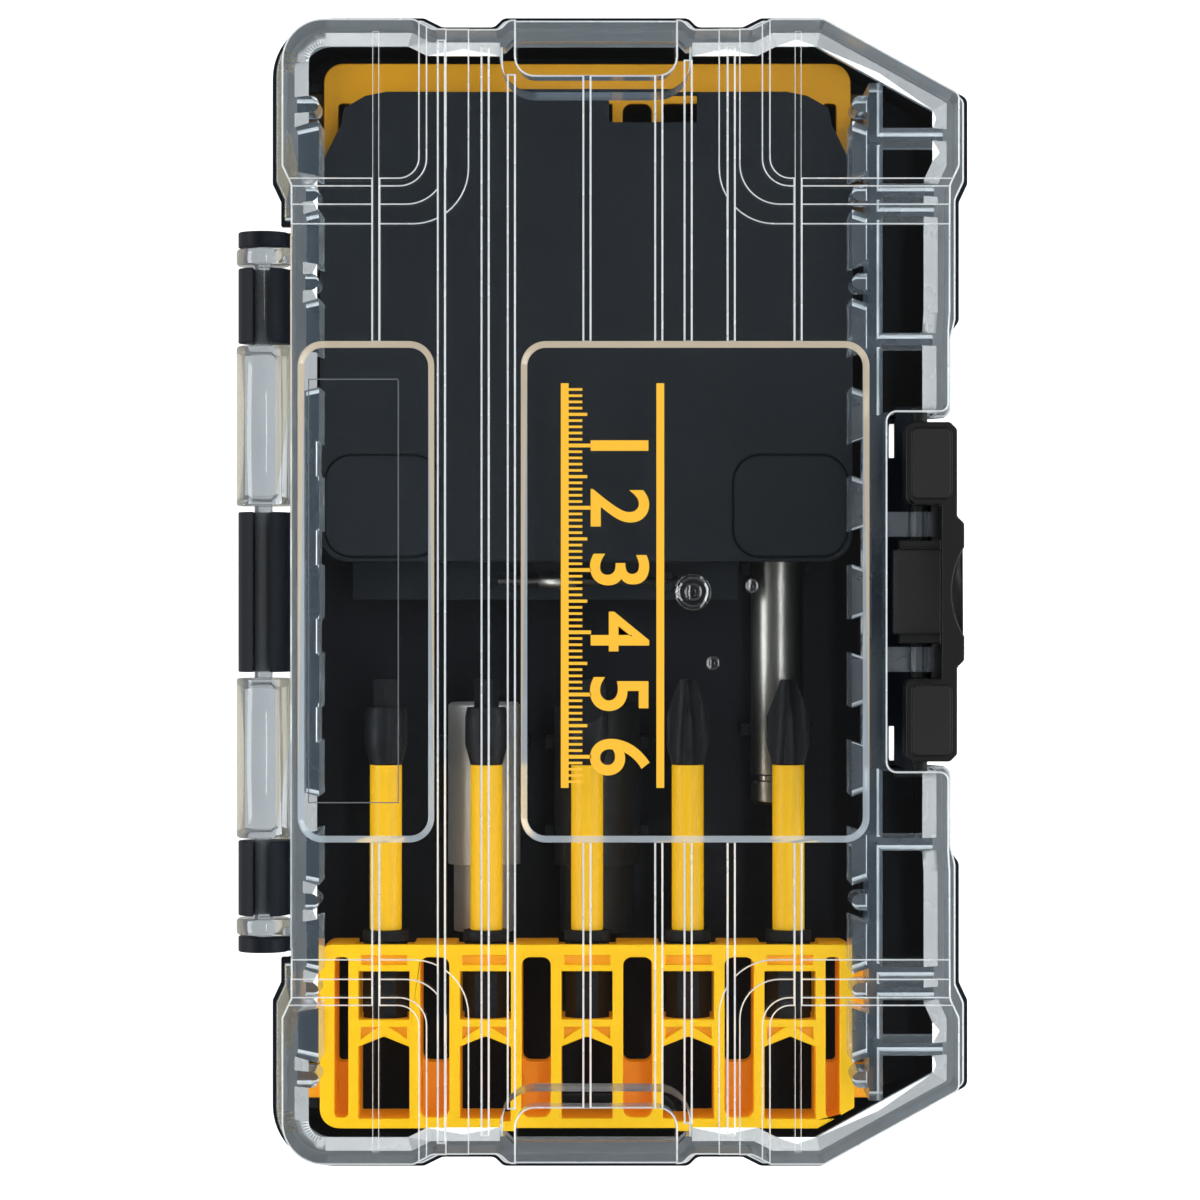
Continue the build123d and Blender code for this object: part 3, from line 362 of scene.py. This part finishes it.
# Past the polished plate, the lid's tones are painted light on one clear plastic. The walls' greyer tint is
# painted shade.
WALL_PAINTED_SHADE = ((0.84, 0.89, 0.92), (0.74, 0.8, 0.84))
# Painted highlight: narrow slanted edges made whitish, as if they caught the lamps.
EDGE_PAINTED_HIGHLIGHT = ((0.84, 0.88, 0.9), (0.72, 0.77, 0.8))
# Painted shade: the grey of the rim's underside, also used for the label line.
RIM_PAINTED_SHADE = ((0.24, 0.265, 0.285), (0.18, 0.2, 0.215))
# Painted shade: the dark blue under the lid's feet and round the recess.
FOOT_PAINTED_SHADE = ((0.055, 0.075, 0.095), (0.035, 0.05, 0.065))
# Painted highlight: the pale band of the coves.
COVE_PAINTED_HIGHLIGHT = ((0.3, 0.31, 0.3), (0.2, 0.21, 0.21))
# Painted shade: the darker coves down the sides.
SIDE_COVE_PAINTED_SHADE = ((0.15, 0.16, 0.165), (0.1, 0.11, 0.115))
# Painted reflection: the blue-grey of the scoops' walls and of the band under them.
SCOOP_PAINTED_REFLECTION = ((0.46, 0.54, 0.62), (0.32, 0.4, 0.48))
# Painted shade: the dark blue-grey of the rails' sides.
RAIL_PAINTED_SHADE = ((0.08, 0.115, 0.15), (0.05, 0.075, 0.1))
# Painted reflection: the window slopes are cream on their upper side and pale blue elsewhere.
SLOPE_PAINTED_CREAM_REFLECTION = ((0.86, 0.72, 0.52), (0.74, 0.64, 0.5))
SLOPE_PAINTED_BLUE_REFLECTION = ((0.7, 0.8, 0.88), (0.6, 0.7, 0.78))
# Painted shade: the hinge barrels' grey, with a painted cream highlight on their edges either side of the
# middle.
BARREL_PAINTED_SHADE = ((0.38, 0.41, 0.43), (0.32, 0.35, 0.37))
BARREL_PAINTED_HIGHLIGHT = ((0.56, 0.52, 0.42), (0.48, 0.45, 0.37))
WALL_LIMIT = 0.3
FLAT_LIMIT = 0.96
FACING = 0.9
EDGE_WIDTH = 0.45 * MM
BARREL_END = -54.5 * MM
BARREL_MIDDLE = 2.9 * MM
HINGE_X = -59.0 * MM
RIM_UNDER = 23.8 * MM
PLATE_UNDER = 39.3 * MM
SLOPE_MIDDLE = 41.3 * MM
SLOPE_REACH = 0.5 * MM
SLOPE_WIDTH = 1.7 * MM
COVE_FROM = 36.0 * MM
FOOT_WIDTH = 5.0 * MM
SCOOP_X = -3.95 * MM
SCOOP_HALF = 16.5 * MM
SCOOP_Y = 79.0 * MM
SCOOP_END = 86.0 * MM
RAIL_X = 41.5 * MM
RAIL_REACH = 1.6 * MM
SIDE_X = 32.0 * MM
SIDEWAYS = 0.25
RECESS_X = 44.0 * MM
RECESS_HALF = 29.0 * MM
SAME_PLANE = 0.99999
TINY_FACE = 0.002 * MM * MM
WIDE_PATCH = 1.6 * MM


def clear_plastic(name, tones, rough, transmission):
    """Clear plastic: a soft haze mixes two tones and two roughnesses, and lamp light passes through it."""
    material, tree, shader = shader_of(name)
    place = add_node(tree, "ShaderNodeTexCoord")
    haze = add_node(tree, "ShaderNodeTexNoise", [("Scale", HAZE_SCALE), ("Detail", HAZE_DETAIL)])
    colour = add_node(tree, "ShaderNodeMix", [("A", (*tones[0], 1)), ("B", (*tones[1], 1))], data_type="RGBA")
    cloud = add_node(tree, "ShaderNodeMapRange", [("To Min", rough[0]), ("To Max", rough[1])])
    shader.inputs["Transmission Weight"].default_value = transmission
    shader.inputs["IOR"].default_value = LID_INDEX
    rays = add_node(tree, "ShaderNodeLightPath")
    gap = add_node(tree, "ShaderNodeBsdfTransparent", [("Color", LID_SHADOW)])
    either = add_node(tree, "ShaderNodeMixShader")
    tree.links.new(place.outputs["Object"], haze.inputs["Vector"])
    tree.links.new(haze.outputs["Fac"], colour.inputs["Factor"])
    tree.links.new(haze.outputs["Fac"], cloud.inputs["Value"])
    tree.links.new(colour.outputs["Result"], shader.inputs["Base Color"])
    tree.links.new(cloud.outputs["Result"], shader.inputs["Roughness"])
    tree.links.new(rays.outputs["Is Shadow Ray"], either.inputs["Fac"])
    tree.links.new(shader.outputs["BSDF"], either.inputs[1])
    tree.links.new(gap.outputs["BSDF"], either.inputs[2])
    tree.links.new(either.outputs["Shader"], tree.nodes["Material Output"].inputs["Surface"])
    return material


def values_of(items, name, kind=float, size=1):
    """One attribute of all the items as an array, with a row for each item where its size is over one."""
    values = np.empty(len(items) * size, kind)
    items.foreach_get(name, values)
    return values.reshape(-1, size) if size > 1 else values


def face_facts(mesh):
    """Each face's normal and centre, its flat patch's mean width, and whether that patch is in a curve.

    The mean width is twice the patch's area over its outline. A patch is in a curve where it meets
    another at less than the smooth angle, unless it is wide.
    """
    count = len(mesh.polygons)
    normal = values_of(mesh.polygons, "normal", size=3)
    centre = values_of(mesh.polygons, "center", size=3)
    area = values_of(mesh.polygons, "area")
    edge = values_of(mesh.loops, "edge_index", int)
    ends = values_of(mesh.vertices, "co", size=3)[values_of(mesh.edges, "vertices", int, 2)]
    length = np.linalg.norm(ends[:, 0] - ends[:, 1], axis=1)
    face = np.repeat(np.arange(count), values_of(mesh.polygons, "loop_total", int))
    order = np.argsort(edge, kind="stable")
    paired = edge[order][1:] == edge[order][:-1]
    first, second = face[order][:-1][paired], face[order][1:][paired]
    shared = length[edge[order][1:][paired]]
    likeness = (normal[first] * normal[second]).sum(axis=1)
    level = likeness > SAME_PLANE
    patch = np.arange(count)
    before = np.full(count, -1)
    while (patch != before).any():
        before = patch.copy()
        lowest = np.minimum(patch[first[level]], patch[second[level]])
        np.minimum.at(patch, first[level], lowest)
        np.minimum.at(patch, second[level], lowest)
        patch = patch[patch]
    whole = np.bincount(patch, area, count)
    rim = np.bincount(patch[first[~level]], shared[~level], count)
    rim += np.bincount(patch[second[~level]], shared[~level], count)
    width = 2 * whole[patch] / np.maximum(rim[patch], WELD_GAP)
    soft = ~level & (likeness > math.cos(SMOOTH_ANGLE)) & (np.minimum(area[first], area[second]) > TINY_FACE)
    bent = np.zeros(count, bool)
    bent[patch[first[soft]]] = True
    bent[patch[second[soft]]] = True
    return normal, centre, width, bent[patch] & (width < WIDE_PATCH)


def level_normals(mesh, normal, curved):
    """Shades curved faces smoothly and flat ones by their own normal, so nothing seen through those bends."""
    corner = values_of(mesh.corner_normals, "vector", size=3)
    sides = values_of(mesh.polygons, "loop_total", int)
    flat = np.repeat(~curved, sides)[:, None]
    shaded = np.where(flat, np.repeat(normal, sides, axis=0), corner)
    mesh.normals_split_custom_set(shaded.tolist())


def share_faces(piece, choices):
    """Gives each face the material of the last choice that holds for it: choices are (material, mask)."""
    index = np.zeros(len(piece.data.polygons), int)
    for place, (material, mask) in enumerate(choices, 1):
        piece.data.materials.append(material)
        index[mask] = place
    piece.data.polygons.foreach_set("material_index", index)


lid = dressed("lid_shell", "clear_lid")
clear_polished = clear_plastic("clear_polished", POLISHED, (0.01, 0.03), 1.0)
finish_with(lid, clear_polished)
normal, centre, width, curved = face_facts(lid.data)
level_normals(lid.data, normal, curved)
x, y, z = centre.T
level = np.abs(normal[:, 2])
wall = level < WALL_LIMIT
slanted = (WALL_LIMIT < level) & (level < FLAT_LIMIT)
inside = (z > RIM_UNDER) & (z < PLATE_UNDER)
facing_down = normal[:, 2] < -FACING
foot = facing_down & inside & (width < FOOT_WIDTH)
at_rim = facing_down & (z < RIM_UNDER)
in_recess = (x < RECESS_X) & (x > 0) & (np.abs(y) < RECESS_HALF)
on_barrel = x < BARREL_END
by_scoop = (np.abs(y) > SCOOP_Y) & (np.abs(x - SCOOP_X) < SCOOP_HALF)
scoop_wall = wall & by_scoop & (np.abs(y) < SCOOP_END) & (z > RIM_UNDER)
rail_side = wall & inside & (np.abs(x - RAIL_X) < RAIL_REACH)
cove = slanted & (normal[:, 2] < 0) & (z > COVE_FROM) & (z < PLATE_UNDER)
side_cove = cove & (np.abs(x) > SIDE_X) & (np.abs(normal[:, 0]) > SIDEWAYS)
slope = slanted & (np.abs(z - SLOPE_MIDDLE) < SLOPE_REACH) & (width < SLOPE_WIDTH)
slope &= (x < RAIL_X) & (np.abs(y) < SCOOP_Y)
bright = slanted & (width < EDGE_WIDTH) & ~slope & ~cove

# The lid's painted light: name, tones, roughness, transmission, faces
LID_PAINTED_LIGHT = (
    ("clear_wall", WALL_PAINTED_SHADE, (0.04, 0.16), 0.92, wall),
    ("scoop_blue", SCOOP_PAINTED_REFLECTION, (0.15, 0.3), 0.55, scoop_wall),
    ("rail_blue", RAIL_PAINTED_SHADE, (0.15, 0.3), 0.5, rail_side),
    ("pale_cove", COVE_PAINTED_HIGHLIGHT, (0.2, 0.36), 0.42, cove),
    ("side_cove", SIDE_COVE_PAINTED_SHADE, (0.2, 0.36), 0.26, side_cove),
    ("slope_blue", SLOPE_PAINTED_BLUE_REFLECTION, (0.12, 0.2), 0.6, slope),
    ("slope_cream", SLOPE_PAINTED_CREAM_REFLECTION, (0.12, 0.2), 0.45, slope & (y > 0)),
    ("bright_edge", EDGE_PAINTED_HIGHLIGHT, (0.2, 0.35), 0.35, bright),
    ("foot_blue", FOOT_PAINTED_SHADE, (0.2, 0.35), 0.35, foot | at_rim & in_recess),
    ("scoop_band", SCOOP_PAINTED_REFLECTION, (0.2, 0.35), 0.2, foot & by_scoop),
    ("rim_underside", RIM_PAINTED_SHADE, (0.25, 0.4), 0.5, at_rim & ~in_recess),
    ("barrel_clear", BARREL_PAINTED_SHADE, (0.05, 0.14), 0.8, on_barrel),
    ("barrel_cream", BARREL_PAINTED_HIGHLIGHT, (0.05, 0.14), 0.7, on_barrel & (np.abs(x - HINGE_X) > BARREL_MIDDLE)),
)
share_faces(lid, [(clear_plastic(*finish_and_painted_light), faces) for *finish_and_painted_light, faces in LID_PAINTED_LIGHT])

# Print: a plain ruler pad-printed in yellow on the lid's large window, with
# a stripe down each side, a tick at each millimetre and a number at each ten.

INK_YELLOW = ((0.8, 0.42, 0.012), (0.86, 0.47, 0.016))
WINDOW_DEPTH = 2.2 * MM
WINDOW_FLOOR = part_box("lid_shell")[1].z - WINDOW_DEPTH
INK_FILM = 0.03 * MM
RULE_X = (-9.6 * MM, 7.0 * MM)
STRIPE = 1.25 * MM
RULE_START = 33.5 * MM
RULE_LENGTH = 65
TICK_LENGTHS = {10: 3.6 * MM, 5: 3.0 * MM, 1: 2.2 * MM}
TICK_WIDTHS = {10: 0.6 * MM, 5: 0.5 * MM, 1: 0.4 * MM}
NUMBER_STEP = 10
NUMBER_HEIGHT = 13.0 * MM
NUMBER_X = -4.6 * MM
NUMBER_WEIGHT = 0.016


def quad_mesh(name, points, faces):
    """A mesh from an array of points and one of four-sided faces."""
    mesh = bpy.data.meshes.new(name)
    mesh.from_pydata(points.reshape(-1, 3).tolist(), [], faces.reshape(-1, 4).tolist())
    return mesh


def plates(rows, low, name):
    """Flat rectangles as one mesh: each row's X and Y span is a box one ink film thick from low up."""
    corner = np.array([(0, 2), (1, 2), (1, 3), (0, 3)])
    points = np.empty((len(rows), 2, len(corner), 3))
    points[..., :2] = np.array(rows)[:, corner][:, None]
    points[..., 2] = np.array([low, low + INK_FILM])[None, :, None]
    box = np.array([(3, 2, 1, 0), (4, 5, 6, 7), (0, 1, 5, 4), (1, 2, 6, 5), (2, 3, 7, 6), (3, 0, 4, 7)])
    starts = 2 * len(corner) * np.arange(len(rows))
    return linked(name, quad_mesh(name, points, box + starts[:, None, None]))


def tick_row(step):
    """The rectangle of one millimetre's tick."""
    kind = next(every for every in TICK_LENGTHS if step % every == 0)
    y = RULE_START - step * MM
    half = TICK_WIDTHS[kind] / 2
    return (RULE_X[0] + STRIPE, RULE_X[0] + STRIPE + TICK_LENGTHS[kind], y - half, y + half)


def printed_number(text, y, name):
    """A number as a flat mesh, turned so that its top points to the latch."""
    curve = bpy.data.curves.new(name, "FONT")
    curve.body = text
    curve.size = NUMBER_HEIGHT
    curve.extrude = INK_FILM / 2
    curve.align_x = "CENTER"
    curve.offset = NUMBER_WEIGHT * NUMBER_HEIGHT
    source = linked(name, curve)
    bpy.context.view_layer.update()
    mesh = bpy.data.meshes.new_from_object(source.evaluated_get(bpy.context.evaluated_depsgraph_get()))
    bpy.data.objects.remove(source)
    across, along, up = values_of(mesh.vertices, "co", size=3).T
    turned_round = np.column_stack([NUMBER_X + along, y - across, WINDOW_FLOOR + INK_FILM / 2 + up])
    mesh.vertices.foreach_set("co", turned_round.ravel())
    mesh.update()
    return linked(name, mesh)


ink = moulded("yellow_ink", INK_YELLOW, rough=(0.4, 0.5), bump=0.04, shine=0.5)
rule_end = RULE_START - RULE_LENGTH * MM
rule_rows = [
    (RULE_X[0], RULE_X[0] + STRIPE, rule_end, RULE_START),
    (RULE_X[1] - STRIPE, RULE_X[1], rule_end, RULE_START),
    *map(tick_row, range(1, RULE_LENGTH)),
]
rule = plates(rule_rows, WINDOW_FLOOR, "rule_ticks")
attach(rule, "lid")
finish_with(rule, ink)
for step in range(NUMBER_STEP, RULE_LENGTH, NUMBER_STEP):
    text = str(step // NUMBER_STEP)
    number = printed_number(text, RULE_START - step * MM, f"rule_number_{text}")
    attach(number, "lid")
    finish_with(number, ink)

# Lid marks: the moulding gate's dimple at the middle of the lid, two small
# ejector buttons, and the fine raised line round the label field.

GATE_PROFILE = (
    (0, 0.55), (0.7, 0.5), (1.1, 0.32), (1.4, 0.12), (2.1, 0.12), (2.45, 0.36), (2.75, 0.3), (2.95, 0), (0, 0)
)
BUTTON_PROFILE = ((0, 0.45), (0.5, 0.38), (0.9, 0.2), (1.1, 0), (0, 0))
MARKS = (
    ("gate_dimple", GATE_PROFILE, 11.64 * MM, -0.03 * MM),
    ("ejector_button_1", BUTTON_PROFILE, 14.86 * MM, -11.45 * MM),
    ("ejector_button_2", BUTTON_PROFILE, 21.1 * MM, 0.93 * MM),
)
TURN_STEPS = 64
MARK_GAP = 0.01 * MM
LABEL_X = (-50.2 * MM, -35.8 * MM)
LABEL_Y = (-33.96 * MM, 34.05 * MM)
LABEL_LINE = 0.18 * MM


def turned(name, profile, x, y):
    """A profile in mm turned round an upright line.

    Each point goes to x plus its radius times the angle's cosine, y plus its radius times the sine, and
    its own height above the window.
    """
    radius, height = (np.array(profile, float) * MM).T
    angle = np.arange(TURN_STEPS) * (2 * math.pi / TURN_STEPS)
    points = np.empty((len(radius), TURN_STEPS, 3))
    points[..., 0] = x + radius[:, None] * np.cos(angle)
    points[..., 1] = y + radius[:, None] * np.sin(angle)
    points[..., 2] = WINDOW_FLOOR + MARK_GAP + height[:, None]
    grid = np.arange(len(radius) * TURN_STEPS).reshape(-1, TURN_STEPS)
    beside = np.roll(grid, -1, axis=1)
    mesh = quad_mesh(name, points, np.stack([grid[:-1], grid[1:], beside[1:], beside[:-1]], axis=-1))
    weld(mesh)
    return linked(name, mesh)


for mark_row in MARKS:
    mark = turned(*mark_row)
    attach(mark, "lid")
    finish_with(mark, clear_polished)
label_rows = [(*LABEL_X, y, y + LABEL_LINE) for y in LABEL_Y]
label_rows += [(x, x + LABEL_LINE, *LABEL_Y) for x in LABEL_X]
label = plates(label_rows, WINDOW_FLOOR + MARK_GAP, "label_line")
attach(label, "lid")
# The label line's grey is the rim's painted shade.
finish_with(label, clear_plastic("label_grey", RIM_PAINTED_SHADE, (0.2, 0.3), 0.5))

# Latch: a black lever moulded in polypropylene with pebbled finger pads. Its
# stub pins snap into the lid's lugs, and its hook holds the base's shelf.

LATCH_BEVEL = 0.3 * MM
LATCH_BLACK = ((0.0035, 0.0038, 0.004), (0.0065, 0.0067, 0.007))
PAD_BLACK = ((0.0065, 0.0067, 0.007), (0.0155, 0.0157, 0.0155))
PEBBLE_SCALE = 2200.0
PAD_WIDTH = 2.5 * MM

latch_smooth = moulded("latch_smooth", LATCH_BLACK, rough=(0.35, 0.5), bump=0.05, shine=0.2)
pebbled = moulded("latch_pebbled", PAD_BLACK, rough=(0.5, 0.7), bump=0.5, shine=0.25, grain=PEBBLE_SCALE)
latch = dressed("latch_lever", "latch", LATCH_BEVEL)
finish_with(latch, latch_smooth)
normal, _, width, _ = face_facts(latch.data)
share_faces(latch, [(pebbled, (normal[:, 2] > FACING) & (width > PAD_WIDTH))])

# Studio: a white floor, a white surround that is dark overhead, so that the
# flat lid shows what is inside, and strip lamps on both sides.

WHITE = (1, 1, 1, 1)
FLOOR_HALF = 4.0
FLOOR_CORNERS = ((-1, -1), (1, -1), (1, 1), (-1, 1))
FLOOR_PALE = (0.8, 0.8, 0.8, 1)
FLOOR_ROUGH = 0.9
FLOOR_GLOW = 0.75
SKY_PLAIN = 0.55
SKY_WHITE = 1.0
HORIZON = 1.0
ZENITH = 0.05
HORIZON_END = 0.35
ZENITH_START = 0.8
CAMERA_PLACE = (-3.31 * MM, -1.32 * MM, 626 * MM)
LENS = 109.3
SENSOR = 36.0
CLIP_START = 0.01

floor_points = np.array([(x * FLOOR_HALF, y * FLOOR_HALF, cad_low.z) for x, y in FLOOR_CORNERS])
floor = linked("floor", quad_mesh("floor", floor_points, np.arange(len(FLOOR_CORNERS))))
floor_paint, tree, shader = shader_of("floor_paint")
shader.inputs["Base Color"].default_value = FLOOR_PALE
shader.inputs["Roughness"].default_value = FLOOR_ROUGH
shader.inputs["Emission Color"].default_value = WHITE
rays = add_node(tree, "ShaderNodeLightPath")
seen = add_node(tree, "ShaderNodeMath", operation="MAXIMUM")
glow = add_node(tree, "ShaderNodeMath", [(1, FLOOR_GLOW)], operation="MULTIPLY")
tree.links.new(rays.outputs["Is Camera Ray"], seen.inputs[0])
tree.links.new(rays.outputs["Is Transmission Ray"], seen.inputs[1])
tree.links.new(seen.outputs["Value"], glow.inputs[0])
tree.links.new(glow.outputs["Value"], shader.inputs["Emission Strength"])
floor.data.materials.append(floor_paint)

world = bpy.data.worlds.new("studio")
bpy.context.scene.world = world
world.use_nodes = True
tree = world.node_tree
back = tree.nodes["Background"]
back.inputs["Color"].default_value = WHITE
where = add_node(tree, "ShaderNodeTexCoord")
split = add_node(tree, "ShaderNodeSeparateXYZ")
sky_range = [("From Min", HORIZON_END), ("From Max", ZENITH_START), ("To Min", HORIZON), ("To Max", ZENITH)]
height = add_node(tree, "ShaderNodeMapRange", sky_range)
rays = add_node(tree, "ShaderNodeLightPath")
mirror = add_node(tree, "ShaderNodeMath", operation="MAXIMUM")
plain = add_node(tree, "ShaderNodeMix", [("A", SKY_PLAIN)], data_type="FLOAT")
white = add_node(tree, "ShaderNodeMix", [("B", SKY_WHITE)], data_type="FLOAT")
tree.links.new(where.outputs["Generated"], split.inputs["Vector"])
tree.links.new(split.outputs["Z"], height.inputs["Value"])
tree.links.new(rays.outputs["Is Glossy Ray"], mirror.inputs[0])
tree.links.new(rays.outputs["Is Transmission Ray"], mirror.inputs[1])
tree.links.new(mirror.outputs["Value"], plain.inputs["Factor"])
tree.links.new(height.outputs["Result"], plain.inputs["B"])
tree.links.new(rays.outputs["Is Camera Ray"], white.inputs["Factor"])
tree.links.new(plain.outputs["Result"], white.inputs["A"])
tree.links.new(white.outputs["Result"], back.inputs["Strength"])

# Lamps: name, angle from straight up towards the latch, distance, width, length, power
LAMPS = (
    ("right_low", 66, 0.9, 0.25, 1.2, 7.0),
    ("left_low", -60, 0.9, 0.3, 1.2, 6.0),
    ("right_high", 14, 1.1, 0.07, 1.0, 2.0),
)
for name, angle, distance, width, length, power in LAMPS:
    light = bpy.data.lights.new(name, "AREA")
    light.shape = "RECTANGLE"
    light.size = width
    light.size_y = length
    light.energy = power
    tilt = math.radians(angle)
    lamp = linked(name, light)
    lamp.location = (distance * math.sin(tilt), 0, distance * math.cos(tilt))
    lamp.rotation_euler = (0, tilt, 0)

camera = linked("camera", bpy.data.cameras.new("camera"))
camera.data.sensor_width = SENSOR
camera.data.lens = LENS
camera.data.clip_start = CLIP_START
camera.location = CAMERA_PLACE
bpy.context.scene.camera = camera
bpy.context.scene.view_settings.view_transform = "Standard"
